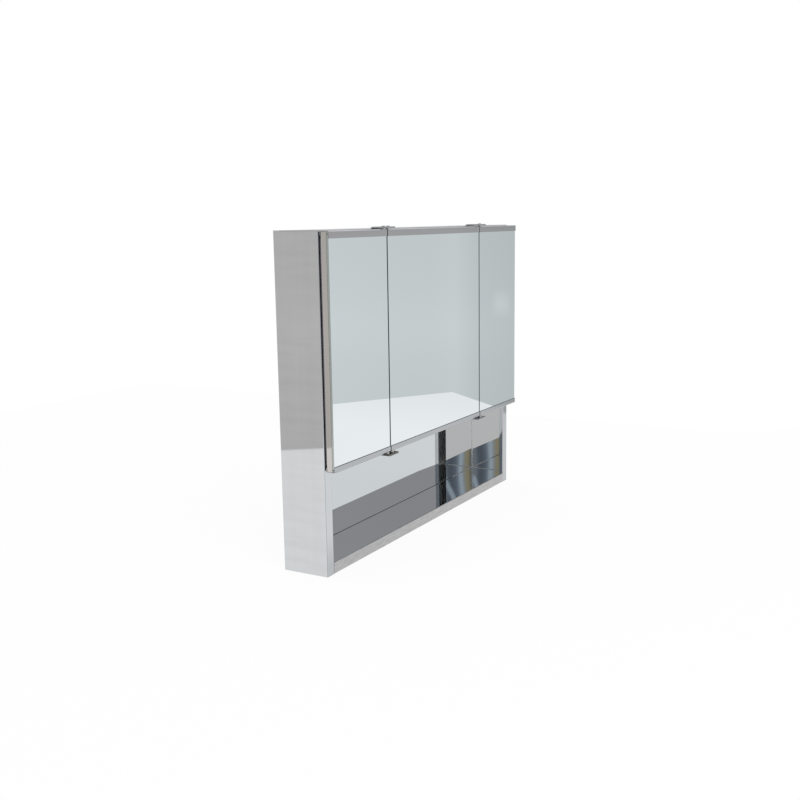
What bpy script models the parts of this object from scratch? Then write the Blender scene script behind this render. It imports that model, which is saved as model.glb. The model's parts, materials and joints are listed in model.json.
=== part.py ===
"""Stainless steel first aid cabinet with three mirror doors over an open shelf.

Metres, +Z up, front towards -Y. The origin is under the middle of the cabinet.
Inside the script everything is placed from the cabinet's own corner: X from the left side,
Y from the front plane of the carcass (doors lie at negative Y), Z from the underside.
"""
import math

import bmesh
import bpy
from mathutils import Vector

# Overall sizes
WIDTH = 0.800
HEIGHT = 0.626
BODY_DEPTH = 0.0965

# Sheet metal
SHEET = 0.001
BEND_RADIUS = 0.0015
STILE_WIDTH = 0.022
STILE_RETURN = 0.010
REAR_FLANGE = 0.018
RAIL_HEIGHT = 0.022
RAIL_RETURN = 0.014
TOP_LIP = 0.022
FLOOR_LIP = 0.018
LIP_RETURN = 0.010
REAR_DROP = 0.016
OPEN_SHELF_TOP = 0.1906

# Clearances
FIT = 0.0003
RUNNING_FIT = 0.0001

# Doors
OUTER_DOOR = 0.199
DOOR_JOINT = 0.003
DOOR_GAP = 0.003
DOOR_THICKNESS = 0.019
DOOR_TOP_DROP = 0.0015
GLASS = 0.004
GLASS_CHAMFER = 0.0005
TRIM_SHEET = 0.0012
TOP_TRIM = 0.0132
BOTTOM_TRIM = 0.0101
TRIM_REAR_LEG = 0.008

# Hinges
HINGE_PLATE = 0.003
HINGE_WIDTH = 0.0355
HINGE_OVERHANG = 0.0075
HINGE_LEG = 0.012
HINGE_CORNER = 0.0025
HINGE_FILLET = 0.0005
PIVOT_OFFSET = 0.0085
PIN_RADIUS = 0.00175
PIN_HEAD_RADIUS = 0.0038
PIN_HEAD = 0.0014
PIN_HEAD_CHAMFER = 0.0008
BUSH_RADIUS = 0.0028
BUSH_FLANGE_RADIUS = 0.0042
BUSH_DEPTH = 0.006
BOTTOM_RUN_GAP = 0.0026

# Shelves behind the doors, from the bottom up
SHELVES = ("lower", "upper")
SHELF_FRONT_DROP = 0.012
SHELF_RETURN = 0.008
SHELF_REAR_DROP = 0.008
BRACKET_HEIGHT = 0.014
BRACKET_FOOT = 0.012
BRACKET_END_GAP = 0.003

# Catches and buffers
CATCH_WIDTH = 0.045
CATCH_HEIGHT = 0.014
CATCH_DEPTH = 0.015
CATCH_EDGE = 0.0008
CATCH_BACK_WALL = 0.006
CATCH_FROM_STILE = 0.004
CATCH_NOSE = 0.0016
MAGNET_WIDTH = 0.034
MAGNET_HEIGHT = 0.009
MAGNET_EDGE = 0.0004
STRIKER_WIDTH = 0.040
STRIKER_HEIGHT = 0.013
STRIKER = 0.001
STRIKER_EDGE = 0.0002
BUFFER_RADIUS = 0.0035
BUFFER_FROM_EDGE = 0.012

# Wall hanging
HANGER_SIZE = 0.050
HANGER_PLATE = 0.002
HANGER_EDGE = 0.0004
HANGER_FROM_SIDE = 0.080
HANGER_FROM_TOP = 0.060
KEYHOLE_RADIUS = 0.0055
KEYHOLE_SLOT = 0.0028
KEYHOLE_RISE = 0.012

# Places worked out from the sizes above
INNER_SIDE = SHEET + FIT
BACK_FACE = BODY_DEPTH - 2 * SHEET - FIT
FLOOR_REAR = BACK_FACE - FIT
LID_UNDERSIDE = HEIGHT - SHEET
FLOOR_TOP = OPEN_SHELF_TOP + FLOOR_LIP
STOREY = (LID_UNDERSIDE - FLOOR_TOP) / (len(SHELVES) + 1)
DOOR_BACK = -DOOR_GAP
DOOR_FRONT = DOOR_BACK - DOOR_THICKNESS
GLASS_FRONT = DOOR_FRONT + TRIM_SHEET + FIT
GLASS_BACK = GLASS_FRONT + GLASS
PAN_FRONT = GLASS_BACK + FIT
PAN_BACK = DOOR_BACK - TRIM_SHEET - FIT
DOOR_TOP = HEIGHT - DOOR_TOP_DROP
TOP_ARM = HEIGHT + FIT
BOTTOM_ARM = OPEN_SHELF_TOP + SHEET + FIT
DOOR_BOTTOM = BOTTOM_ARM + HINGE_PLATE + BOTTOM_RUN_GAP
PANEL_FROM_END = BUSH_DEPTH + FIT
HINGE_FRONT = DOOR_FRONT - HINGE_OVERHANG
HINGE_BACK = SHEET + FIT + HINGE_PLATE
PIVOT_Y = DOOR_FRONT + TRIM_SHEET + FIT + BUSH_RADIUS
JOINTS = {"left": OUTER_DOOR, "right": WIDTH - OUTER_DOOR}
MIDDLE_OF_DEPTH = (HINGE_FRONT + BODY_DEPTH) / 2

# Each door: its two edges, the joint that it hangs at, its pivot and the side that swings free
DOORS = {
    "left": {"edges": (0.0, JOINTS["left"] - DOOR_JOINT / 2),
             "hangs_at": "left", "pivot": JOINTS["left"] - PIVOT_OFFSET, "free": -1},
    "middle": {"edges": (JOINTS["left"] + DOOR_JOINT / 2, JOINTS["right"] - DOOR_JOINT / 2),
               "hangs_at": "left", "pivot": JOINTS["left"] + PIVOT_OFFSET, "free": 1},
    "right": {"edges": (JOINTS["right"] + DOOR_JOINT / 2, WIDTH),
              "hangs_at": "right", "pivot": JOINTS["right"] + PIVOT_OFFSET, "free": 1},
}

# Fineness of round pieces and of bends, and how flat an edge still looks smooth, in degrees
ROUND_STEPS = 24
BEND_STEPS = 3
SMOOTH_UP_TO = 35
SAME_PLACE = 1e-7


def clear_scene():
    for thing in list(bpy.data.objects):
        bpy.data.objects.remove(thing, do_unlink=True)


def material(name, colour, roughness, metallic):
    made = bpy.data.materials.get(name)
    if made is None:
        made = bpy.data.materials.new(name)
        made.use_nodes = True
        shader = made.node_tree.nodes["Principled BSDF"]
        shader.inputs["Base Color"].default_value = (*colour, 1.0)
        shader.inputs["Roughness"].default_value = roughness
        shader.inputs["Metallic"].default_value = metallic
    return made


def brushed_steel():
    return material("brushed_stainless_steel", (0.62, 0.62, 0.63), 0.32, 1.0)


def polished_steel():
    return material("polished_stainless_steel", (0.66, 0.67, 0.69), 0.08, 1.0)


def mirror_glass():
    return material("mirror_glass", (0.80, 0.84, 0.84), 0.02, 1.0)


def zinc_steel():
    return material("zinc_plated_steel", (0.50, 0.50, 0.50), 0.40, 1.0)


def nylon():
    return material("white_nylon", (0.80, 0.80, 0.78), 0.50, 0.0)


def rubber():
    return material("black_rubber", (0.03, 0.03, 0.03), 0.80, 0.0)


def hardboard():
    return material("hardboard", (0.36, 0.24, 0.15), 0.85, 0.0)


def magnet_ferrite():
    return material("ferrite_magnet", (0.10, 0.10, 0.11), 0.60, 0.0)


def frame_empty(name, place, parent=None):
    empty = bpy.data.objects.new(name, None)
    bpy.context.collection.objects.link(empty)
    empty.location = place
    empty.parent = parent
    return empty


def new_object(name, shape, finish, place=(0, 0, 0), parent=None):
    """Turns a bmesh into an object; its place is given in the cabinet's own coordinates."""
    mesh = bpy.data.meshes.new(name)
    shape.to_mesh(mesh)
    shape.free()
    made = bpy.data.objects.new(name, mesh)
    bpy.context.collection.objects.link(made)
    if finish is not None:
        mesh.materials.append(finish)
    holder = parent if parent is not None else CABINET
    made.parent = holder
    offset = holder.location if holder is not CABINET else Vector((0, 0, 0))
    made.location = Vector(place) - offset
    return made


def smooth(piece):
    piece.data.shade_smooth()
    piece.data.set_sharp_from_angle(angle=math.radians(SMOOTH_UP_TO))


def block_shape(low, high):
    shape = bmesh.new()
    bmesh.ops.create_cube(shape)
    for vert in shape.verts:
        vert.co = Vector(high[i] if vert.co[i] > 0 else low[i] for i in range(3))
    return shape


def block(name, low, high, finish, parent=None, bevel=0.0):
    """A plain block between two corners, with its edges eased by a bevel."""
    centre = (Vector(low) + Vector(high)) / 2
    made = new_object(name, block_shape(Vector(low) - centre, Vector(high) - centre), finish, centre, parent)
    if bevel:
        ease = made.modifiers.new("ease_edges", "BEVEL")
        ease.width = bevel
        ease.segments = 1
    return made


def in_space(axis, point, along):
    """A section's point is (Y, Z) along axis X, (Z, X) along axis Y and (X, Y) along axis Z."""
    if axis == "X":
        return (along, point[0], point[1])
    if axis == "Y":
        return (point[1], along, point[0])
    return (point[0], point[1], along)


def folded_sheet(name, path, axis, start, end, finish, parent=None, thickness=SHEET, radius=BEND_RADIUS):
    """A folded sheet: the path is its outer skin in section, seen with the axis pointing at the eye.

    The metal lies on the path's left. Bevel rounds the folds, Solidify gives the sheet its thickness.
    """
    shape = bmesh.new()
    near = [shape.verts.new(in_space(axis, point, start)) for point in path]
    far = [shape.verts.new(in_space(axis, point, end)) for point in path]
    for i in range(len(path) - 1):
        shape.faces.new((near[i], near[i + 1], far[i + 1], far[i]))
    made = new_object(name, shape, finish, (0, 0, 0), parent)
    bend = made.modifiers.new("bend_radius", "BEVEL")
    bend.width = radius
    bend.segments = BEND_STEPS
    bend.limit_method = "ANGLE"
    thick = made.modifiers.new("sheet_thickness", "SOLIDIFY")
    thick.thickness = thickness
    thick.offset = -1.0
    thick.use_even_offset = True
    return made


def guide(name, shape, parent=None, place=(0, 0, 0)):
    """A cutter: it shapes other pieces and isn't one itself."""
    made = new_object(name, shape, None, place, parent)
    made.hide_render = True
    made.display_type = "WIRE"
    return made


def cut(piece, cutter):
    hole = piece.modifiers.new("cut_" + cutter.name, "BOOLEAN")
    hole.operation = "DIFFERENCE"
    hole.solver = "EXACT"
    hole.object = cutter


def cylinder_shape(radius, low, high):
    shape = bmesh.new()
    bmesh.ops.create_cone(shape, cap_ends=True, segments=ROUND_STEPS, radius1=radius, radius2=radius,
                          depth=high - low)
    bmesh.ops.translate(shape, verts=shape.verts, vec=(0, 0, (low + high) / 2))
    return shape


def turned(name, profile, finish, place, parent=None):
    """A turned piece: a closed outline of (radius, height) points spun round the Z axis."""
    shape = bmesh.new()
    verts = [shape.verts.new((radius, 0, height)) for radius, height in profile]
    edges = [shape.edges.new((verts[i], verts[i + 1])) for i in range(len(verts) - 1)]
    if profile[0][0] > 0:
        edges.append(shape.edges.new((verts[-1], verts[0])))
    bmesh.ops.spin(shape, geom=verts + edges, cent=(0, 0, 0), axis=(0, 0, 1), angle=2 * math.pi,
                   steps=ROUND_STEPS, use_duplicate=False)
    bmesh.ops.remove_doubles(shape, verts=shape.verts, dist=SAME_PLACE)
    bmesh.ops.recalc_face_normals(shape, faces=shape.faces)
    made = new_object(name, shape, finish, place, parent)
    smooth(made)
    return made


def cap_path(depth, top, front_drop, front_return, rear_drop, front=0.0):
    """Section of a folded cap, as (Y, Z): rear flange, flat top, front lip and the lip's return."""
    return [(depth, top - rear_drop), (depth, top), (front, top),
            (front, top - front_drop), (front + front_return, top - front_drop)]


def side_panels():
    """Both sides: rear flange, side wall, front stile and the stile's return, as one fold each."""
    path = [(REAR_FLANGE, BODY_DEPTH), (0, BODY_DEPTH), (0, 0), (STILE_WIDTH, 0), (STILE_WIDTH, STILE_RETURN)]
    mirrored = [(WIDTH - x, y) for x, y in reversed(path)]
    top = LID_UNDERSIDE - FIT
    folded_sheet("left_side_panel", path, "Z", 0, top, brushed_steel())
    folded_sheet("right_side_panel", mirrored, "Z", 0, top, brushed_steel())


def corner_notches(piece, reach_x, reach_y, low, high, rear=False):
    """Clears both front (or rear) corners of a folded cap round the side panels' flanges."""
    near, far = (BODY_DEPTH - reach_y, BODY_DEPTH * 2) if rear else (-BODY_DEPTH, reach_y)
    ends = {"left": (-WIDTH, reach_x), "right": (WIDTH - reach_x, 2 * WIDTH)}
    for side, (start, end) in ends.items():
        cutter = guide(f"{piece.name}_{'rear' if rear else 'front'}_notch_{side}",
                       block_shape((start, near, low), (end, far, high)))
        cut(piece, cutter)


def bracket_slot(piece, label, joint_x, low, high):
    """A slot as wide as a hinge bracket; low and high hold its Y and Z reach."""
    half = HINGE_WIDTH / 2 + FIT
    cutter = guide(f"{piece.name}_slot_{label}",
                   block_shape((joint_x - half, *low), (joint_x + half, *high)))
    cut(piece, cutter)


def top_panel():
    """The lid lies over the side panels; its lip fits between the stiles."""
    path = cap_path(BODY_DEPTH, HEIGHT, TOP_LIP, LIP_RETURN, REAR_DROP)
    lid = folded_sheet("top_panel", path, "X", 0, WIDTH, brushed_steel())
    under_lid = LID_UNDERSIDE - FIT / 2
    corner_notches(lid, STILE_WIDTH + FIT, STILE_RETURN + FIT, 0, under_lid)
    corner_notches(lid, REAR_FLANGE + FIT, 2 * SHEET, 0, under_lid, rear=True)
    for label, joint_x in JOINTS.items():
        bracket_slot(lid, label, joint_x, (SHEET - FIT / 2, LID_UNDERSIDE - SHEET),
                     (HINGE_BACK + FIT, HEIGHT + SHEET))


def compartment_floor():
    """Floor of the closed part; the hinge brackets pass through slots in its lip."""
    path = cap_path(FLOOR_REAR, FLOOR_TOP, FLOOR_LIP, LIP_RETURN, REAR_DROP)
    floor = folded_sheet("compartment_floor", path, "X", INNER_SIDE, WIDTH - INNER_SIDE, brushed_steel())
    corner_notches(floor, STILE_WIDTH + FIT, STILE_RETURN + FIT, 0, HEIGHT)
    for label, joint_x in JOINTS.items():
        bracket_slot(floor, label, joint_x, (-SHEET, BOTTOM_ARM - FIT / 2),
                     (BEND_RADIUS + FIT, BOTTOM_ARM + HINGE_PLATE + HINGE_FILLET + FIT))


def bottom_tray():
    """Raised floor of the open shelf with the front rail folded down from it."""
    path = cap_path(FLOOR_REAR, RAIL_HEIGHT, RAIL_HEIGHT, RAIL_RETURN, RAIL_HEIGHT)
    tray = folded_sheet("bottom_tray", path, "X", INNER_SIDE, WIDTH - INNER_SIDE, polished_steel())
    corner_notches(tray, STILE_WIDTH + FIT, STILE_RETURN + FIT, -SHEET, HEIGHT)


def keyhole_shape(low, high):
    """A wall screw's keyhole: a round entry with a narrower slot above it, cut along Y."""
    rise = math.sqrt(KEYHOLE_RADIUS ** 2 - KEYHOLE_SLOT ** 2)
    start = math.atan2(rise, KEYHOLE_SLOT)
    points = []
    sweep = math.pi + 2 * start
    for i in range(ROUND_STEPS + 1):
        angle = start - sweep * i / ROUND_STEPS
        points.append((KEYHOLE_RADIUS * math.cos(angle), KEYHOLE_RADIUS * math.sin(angle)))
    for i in range(ROUND_STEPS // 2 + 1):
        angle = math.pi - math.pi * 2 * i / ROUND_STEPS
        points.append((KEYHOLE_SLOT * math.cos(angle), KEYHOLE_RISE + KEYHOLE_SLOT * math.sin(angle)))
    shape = bmesh.new()
    face = shape.faces.new([shape.verts.new((x, low, z)) for x, z in points])
    swept = bmesh.ops.extrude_face_region(shape, geom=[face])
    moved = [item for item in swept["geom"] if isinstance(item, bmesh.types.BMVert)]
    bmesh.ops.translate(shape, verts=moved, vec=(0, high - low, 0))
    bmesh.ops.recalc_face_normals(shape, faces=shape.faces)
    return shape


def back_and_hangers():
    """One polished sheet closes the back; a keyhole plate in each upper corner stiffens it."""
    back = block("back_panel", (INNER_SIDE, BACK_FACE, FIT),
                 (WIDTH - INNER_SIDE, BACK_FACE + SHEET, LID_UNDERSIDE - FIT), polished_steel())
    front = BACK_FACE - FIT - HANGER_PLATE
    centre_z = HEIGHT - HANGER_FROM_TOP
    for side, centre_x in (("left", HANGER_FROM_SIDE), ("right", WIDTH - HANGER_FROM_SIDE)):
        half = HANGER_SIZE / 2
        plate = block(f"hanger_plate_{side}", (centre_x - half, front, centre_z - half),
                      (centre_x + half, front + HANGER_PLATE, centre_z + half),
                      zinc_steel(), bevel=HANGER_EDGE)
        cutter = guide(f"keyhole_{side}", keyhole_shape(-2 * HANGER_PLATE, 2 * SHEET), None,
                       (centre_x, BACK_FACE, centre_z - KEYHOLE_RISE / 2))
        cut(plate, cutter)
        cut(back, cutter)


def shelves():
    """Folded shelves in equal storeys, each on a pair of angle brackets fixed to the side panels."""
    front = STILE_RETURN + FIT + SHEET
    start = front + SHELF_RETURN + BRACKET_END_GAP
    end = FLOOR_REAR - SHEET - BRACKET_END_GAP
    for storey, name in enumerate(SHELVES, 1):
        height = FLOOR_TOP + storey * STOREY
        path = cap_path(FLOOR_REAR, height, SHELF_FRONT_DROP, SHELF_RETURN, SHELF_REAR_DROP, front)
        folded_sheet(f"{name}_shelf", path, "X", INNER_SIDE, WIDTH - INNER_SIDE, brushed_steel())
        seat = height - SHEET - FIT
        path = [(seat - BRACKET_HEIGHT, INNER_SIDE), (seat, INNER_SIDE), (seat, INNER_SIDE + BRACKET_FOOT)]
        mirrored = [(z, WIDTH - x) for z, x in reversed(path)]
        folded_sheet(f"{name}_shelf_bracket_left", path, "Y", start, end, zinc_steel())
        folded_sheet(f"{name}_shelf_bracket_right", mirrored, "Y", start, end, zinc_steel())


def hinge_brackets():
    """Angle plates: the arm reaches over the doors' ends, the leg hooks in behind the lip."""
    arm_end = TOP_ARM + HINGE_PLATE
    top_path = [(HINGE_BACK, HEIGHT - HINGE_LEG), (HINGE_BACK, arm_end), (HINGE_FRONT, arm_end)]
    bottom_path = [(HINGE_FRONT, BOTTOM_ARM), (HINGE_BACK, BOTTOM_ARM), (HINGE_BACK, BOTTOM_ARM + HINGE_LEG)]
    for label, joint_x in JOINTS.items():
        half = HINGE_WIDTH / 2
        for end, path, arm in (("top", top_path, TOP_ARM), ("bottom", bottom_path, BOTTOM_ARM)):
            plate = folded_sheet(f"hinge_bracket_{end}_{label}", path, "X", joint_x - half, joint_x + half,
                                 zinc_steel(), thickness=HINGE_PLATE, radius=HINGE_PLATE + HINGE_FILLET)
            round_front_corners(plate, joint_x, arm)
            for door, facts in DOORS.items():
                if facts["hangs_at"] == label:
                    shape = cylinder_shape(PIN_RADIUS + RUNNING_FIT, -HINGE_PLATE, 2 * HINGE_PLATE)
                    hole = guide(f"{door}_{end}_pin_hole", shape, None, (facts["pivot"], PIVOT_Y, arm))
                    cut(plate, hole)


def round_front_corners(plate, joint_x, arm):
    """Rounds both front corners of a bracket's arm with square cutters, hollowed to the corner's arc."""
    reach = 2 * HINGE_CORNER
    low_z, high_z = -HINGE_PLATE, 2 * HINGE_PLATE
    for label, low_x, side in (("left", -reach, -1), ("right", 0, 1)):
        centre = (joint_x + side * (HINGE_WIDTH / 2 - HINGE_CORNER), HINGE_FRONT + HINGE_CORNER, arm)
        square = block_shape((low_x, -reach, low_z), (low_x + reach, 0, high_z))
        waste = guide(f"{plate.name}_{label}_corner", square, None, centre)
        rod = cylinder_shape(HINGE_CORNER, low_z - HINGE_PLATE, high_z + HINGE_PLATE)
        arc = guide(f"{plate.name}_{label}_arc", rod, None, centre)
        cut(waste, arc)
        cut(plate, waste)


def door_pan(door, x_low, x_high, axis):
    """Back sheet of a door with both sides folded forward as far as the back of the glass."""
    path = [(x_high, PAN_FRONT), (x_high, PAN_BACK), (x_low, PAN_BACK), (x_low, PAN_FRONT)]
    end = TRIM_SHEET + FIT
    folded_sheet(f"{door}_door_pan", path, "Z", DOOR_BOTTOM + end, DOOR_TOP - end, brushed_steel(), axis)


def door_channels(door, x_low, x_high, axis):
    """Steel channels that grip the door's top and bottom: front lip, web and rear leg."""
    top = [(DOOR_BACK, DOOR_TOP - TRIM_REAR_LEG), (DOOR_BACK, DOOR_TOP),
           (DOOR_FRONT, DOOR_TOP), (DOOR_FRONT, DOOR_TOP - TOP_TRIM)]
    bottom = [(DOOR_FRONT, DOOR_BOTTOM + BOTTOM_TRIM), (DOOR_FRONT, DOOR_BOTTOM),
              (DOOR_BACK, DOOR_BOTTOM), (DOOR_BACK, DOOR_BOTTOM + TRIM_REAR_LEG)]
    pivot = DOORS[door]["pivot"]
    for end, path, level in (("top", top, DOOR_TOP), ("bottom", bottom, DOOR_BOTTOM)):
        channel = folded_sheet(f"{door}_door_{end}_channel", path, "X", x_low, x_high, brushed_steel(), axis,
                               thickness=TRIM_SHEET, radius=TRIM_SHEET + FIT)
        hole = guide(f"{door}_{end}_bush_hole",
                     cylinder_shape(BUSH_RADIUS + RUNNING_FIT, -2 * TRIM_SHEET, 2 * TRIM_SHEET), axis,
                     (pivot, PIVOT_Y, level))
        cut(channel, hole)


def door_mirror_and_core(door, x_low, x_high, axis):
    """The glass is as wide as the door, so its side edges show. The board lies inside the pan."""
    inset = SHEET + FIT
    low, high = DOOR_BOTTOM + PANEL_FROM_END, DOOR_TOP - PANEL_FROM_END
    block(f"{door}_door_mirror", (x_low, GLASS_FRONT, low), (x_high, GLASS_BACK, high),
          mirror_glass(), axis, bevel=GLASS_CHAMFER)
    block(f"{door}_door_core_board", (x_low + inset, PAN_FRONT, low),
          (x_high - inset, PAN_BACK - SHEET - FIT, high), hardboard(), axis)


def pivot_sets(door, axis):
    """A headed pin in each bracket turns in a flanged nylon bush in each end of the door."""
    place_x = DOORS[door]["pivot"]
    bore = PIN_RADIUS + RUNNING_FIT
    shank = HINGE_PLATE + BUSH_DEPTH
    for end, plate_outer, plate_inner, door_end, inward in (
            ("top", TOP_ARM + HINGE_PLATE, TOP_ARM, DOOR_TOP, -1),
            ("bottom", BOTTOM_ARM, BOTTOM_ARM + HINGE_PLATE, DOOR_BOTTOM, 1)):
        flange_start = door_end - inward * FIT
        flange_end = plate_inner + inward * FIT
        inner_end = door_end + inward * BUSH_DEPTH
        bush = [(bore, inner_end), (BUSH_RADIUS, inner_end), (BUSH_RADIUS, flange_start),
                (BUSH_FLANGE_RADIUS, flange_start), (BUSH_FLANGE_RADIUS, flange_end), (bore, flange_end)]
        turned(f"{door}_door_{end}_bush", bush, nylon(), (place_x, PIVOT_Y, 0), axis)
        head_base = plate_outer - inward * FIT
        crown = head_base - inward * PIN_HEAD
        tip = plate_outer + inward * shank
        pin = [(0, tip), (PIN_RADIUS, tip), (PIN_RADIUS, head_base), (PIN_HEAD_RADIUS, head_base),
               (PIN_HEAD_RADIUS, crown + inward * PIN_HEAD_CHAMFER),
               (PIN_HEAD_RADIUS - PIN_HEAD_CHAMFER, crown), (0, crown)]
        turned(f"{door}_door_{end}_pin", pin, polished_steel(), (place_x, PIVOT_Y, 0))


def door_fittings(door, axis):
    """Striker plate and rubber buffer on a door's back, near its free edge."""
    centre_x = catch_centre(door)
    centre_z = catch_level()
    plate_back = PAN_BACK + FIT
    block(f"{door}_door_striker", (centre_x - STRIKER_WIDTH / 2, plate_back, centre_z - STRIKER_HEIGHT / 2),
          (centre_x + STRIKER_WIDTH / 2, plate_back + STRIKER, centre_z + STRIKER_HEIGHT / 2),
          zinc_steel(), axis, bevel=STRIKER_EDGE)
    thickness = DOOR_GAP - 2 * FIT
    shape = cylinder_shape(BUFFER_RADIUS, -thickness / 2, thickness / 2)
    for vert in shape.verts:
        vert.co = Vector((vert.co.x, -vert.co.z, vert.co.y))
    buffer_x = free_edge(door) - DOORS[door]["free"] * BUFFER_FROM_EDGE
    pad = new_object(f"{door}_door_buffer", shape, rubber(),
                     (buffer_x, DOOR_BACK / 2, DOOR_BOTTOM + TRIM_REAR_LEG / 2), axis)
    smooth(pad)


def free_edge(door):
    low, high = DOORS[door]["edges"]
    return low if DOORS[door]["free"] < 0 else high


def catch_centre(door):
    return free_edge(door) - DOORS[door]["free"] * (STILE_WIDTH + CATCH_FROM_STILE + CATCH_WIDTH / 2)


def catch_level():
    return HEIGHT - TOP_LIP - FIT - CATCH_HEIGHT / 2


def catches():
    """Magnetic catches under the lid's lip: a plastic housing with the magnet in its nose."""
    level = catch_level()
    nose = PAN_BACK + 2 * FIT + STRIKER
    front = nose + CATCH_NOSE
    for door in DOORS:
        centre_x = catch_centre(door)
        half_w, half_h = CATCH_WIDTH / 2, CATCH_HEIGHT / 2
        housing = block(f"{door}_catch_housing", (centre_x - half_w, front, level - half_h),
                        (centre_x + half_w, front + CATCH_DEPTH, level + half_h), nylon(), bevel=CATCH_EDGE)
        pocket_back = front + CATCH_DEPTH - CATCH_BACK_WALL
        pocket = guide(f"{door}_catch_pocket",
                       block_shape((centre_x - MAGNET_WIDTH / 2 - FIT, front - CATCH_DEPTH,
                                    level - MAGNET_HEIGHT / 2 - FIT),
                                   (centre_x + MAGNET_WIDTH / 2 + FIT, pocket_back,
                                    level + MAGNET_HEIGHT / 2 + FIT)))
        cut(housing, pocket)
        block(f"{door}_catch_magnet", (centre_x - MAGNET_WIDTH / 2, nose, level - MAGNET_HEIGHT / 2),
              (centre_x + MAGNET_WIDTH / 2, pocket_back - FIT, level + MAGNET_HEIGHT / 2),
              magnet_ferrite(), bevel=MAGNET_EDGE)


def doors():
    for door, facts in DOORS.items():
        axis = frame_empty(f"{door}_door_axis", (facts["pivot"], PIVOT_Y, 0), CABINET)
        x_low, x_high = facts["edges"]
        door_pan(door, x_low, x_high, axis)
        door_channels(door, x_low, x_high, axis)
        door_mirror_and_core(door, x_low, x_high, axis)
        pivot_sets(door, axis)
        door_fittings(door, axis)


clear_scene()
CABINET = frame_empty("cabinet_frame", (-WIDTH / 2, -MIDDLE_OF_DEPTH, 0))
side_panels()
top_panel()
compartment_floor()
bottom_tray()
back_and_hangers()
shelves()
hinge_brackets()
catches()
doors()
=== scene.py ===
# %% [markdown]
# # A first aid cabinet in stainless steel
# The real cabinet is folded from 1 mm stainless sheet. Three mirror doors close its upper part and the lower
# part is an open shelf with a polished back and floor. Nearly everything on it reflects, so this lesson is
# mostly about three things: flat faces that stay flat, steel that has a grain, and a room that is worth
# reflecting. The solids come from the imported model. They keep their places, and this script gives them
# rounded folds, eased edges, fasteners and finishes.

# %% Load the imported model
import json
import math

import bmesh
import bpy
from mathutils import Matrix, Vector

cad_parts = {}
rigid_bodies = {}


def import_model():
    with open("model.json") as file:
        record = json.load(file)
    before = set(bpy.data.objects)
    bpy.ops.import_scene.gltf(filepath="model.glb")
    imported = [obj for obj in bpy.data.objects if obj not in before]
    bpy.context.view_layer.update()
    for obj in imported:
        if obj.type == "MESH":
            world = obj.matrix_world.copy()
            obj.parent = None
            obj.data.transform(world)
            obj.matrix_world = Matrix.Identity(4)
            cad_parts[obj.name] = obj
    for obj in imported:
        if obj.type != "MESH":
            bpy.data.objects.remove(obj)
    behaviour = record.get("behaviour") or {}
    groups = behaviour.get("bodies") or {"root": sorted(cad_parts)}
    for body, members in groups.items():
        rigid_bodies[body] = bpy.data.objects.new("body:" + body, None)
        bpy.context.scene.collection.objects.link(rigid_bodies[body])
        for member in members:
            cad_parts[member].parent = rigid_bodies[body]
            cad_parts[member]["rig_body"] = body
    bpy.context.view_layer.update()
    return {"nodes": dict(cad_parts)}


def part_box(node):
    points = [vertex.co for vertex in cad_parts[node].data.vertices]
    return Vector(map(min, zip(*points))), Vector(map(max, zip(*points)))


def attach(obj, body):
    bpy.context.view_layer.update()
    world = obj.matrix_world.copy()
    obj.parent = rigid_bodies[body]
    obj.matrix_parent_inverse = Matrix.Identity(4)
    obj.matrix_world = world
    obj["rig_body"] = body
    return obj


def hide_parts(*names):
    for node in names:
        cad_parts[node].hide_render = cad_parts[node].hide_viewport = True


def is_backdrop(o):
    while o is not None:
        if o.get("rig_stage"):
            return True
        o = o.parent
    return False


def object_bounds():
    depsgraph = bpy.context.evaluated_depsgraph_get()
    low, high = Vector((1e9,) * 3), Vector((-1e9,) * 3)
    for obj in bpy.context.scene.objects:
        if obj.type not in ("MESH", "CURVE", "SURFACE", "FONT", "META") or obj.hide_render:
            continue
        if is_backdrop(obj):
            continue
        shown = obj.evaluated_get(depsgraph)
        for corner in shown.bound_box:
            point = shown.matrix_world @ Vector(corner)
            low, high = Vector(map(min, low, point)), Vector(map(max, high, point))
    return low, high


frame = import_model()

# %% [markdown]
# ## Small helpers
# Colours are written as the eye reads them, as sRGB hex, and one function turns them into the linear light
# that the renderer works in. The others give short forms to what is needed all the time, such as a new node,
# arithmetic, mixing colours or a new object, so each finish below reads as a short list.

# %% Units, colours and nodes
MM = 0.001
DOORS = ("left", "middle", "right")


def linear(code):
    """Turns an sRGB hex colour into linear RGB with alpha."""
    parts = [int(code[i:i + 2], 16) / 255 for i in (1, 3, 5)]
    return [p / 12.92 if p <= 0.04045 else ((p + 0.055) / 1.055) ** 2.4 for p in parts] + [1.0]


def feed(node, inputs):
    """Sets a node's inputs, by name or number, each to a plain value or to another node's output."""
    for name, value in inputs.items():
        if isinstance(value, bpy.types.NodeSocket):
            node.id_data.links.new(value, node.inputs[name])
        else:
            node.inputs[name].default_value = value


def add(tree, kind, inputs=None, **settings):
    """A new node with its settings and inputs."""
    node = tree.nodes.new(kind)
    for name, value in settings.items():
        setattr(node, name, value)
    feed(node, inputs or {})
    return node


def maths(tree, operation, *inputs):
    """One step of arithmetic on plain values or outputs."""
    return add(tree, "ShaderNodeMath", dict(enumerate(inputs)), operation=operation).outputs[0]


def spread(tree, value, start, end, low=0.0, high=1.0, curve="LINEAR"):
    """Low where the value is at start, high where it is at end, and level beyond both."""
    node = add(tree, "ShaderNodeMapRange", {"Value": value, "From Min": start, "From Max": end,
                                            "To Min": low, "To Max": high}, interpolation_type=curve)
    return node.outputs[0]


def place_on_piece(tree):
    """A point's X, Y and Z on its own piece, in metres."""
    return add(tree, "ShaderNodeSeparateXYZ", {0: add(tree, "ShaderNodeTexCoord").outputs["Object"]}).outputs


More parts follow.
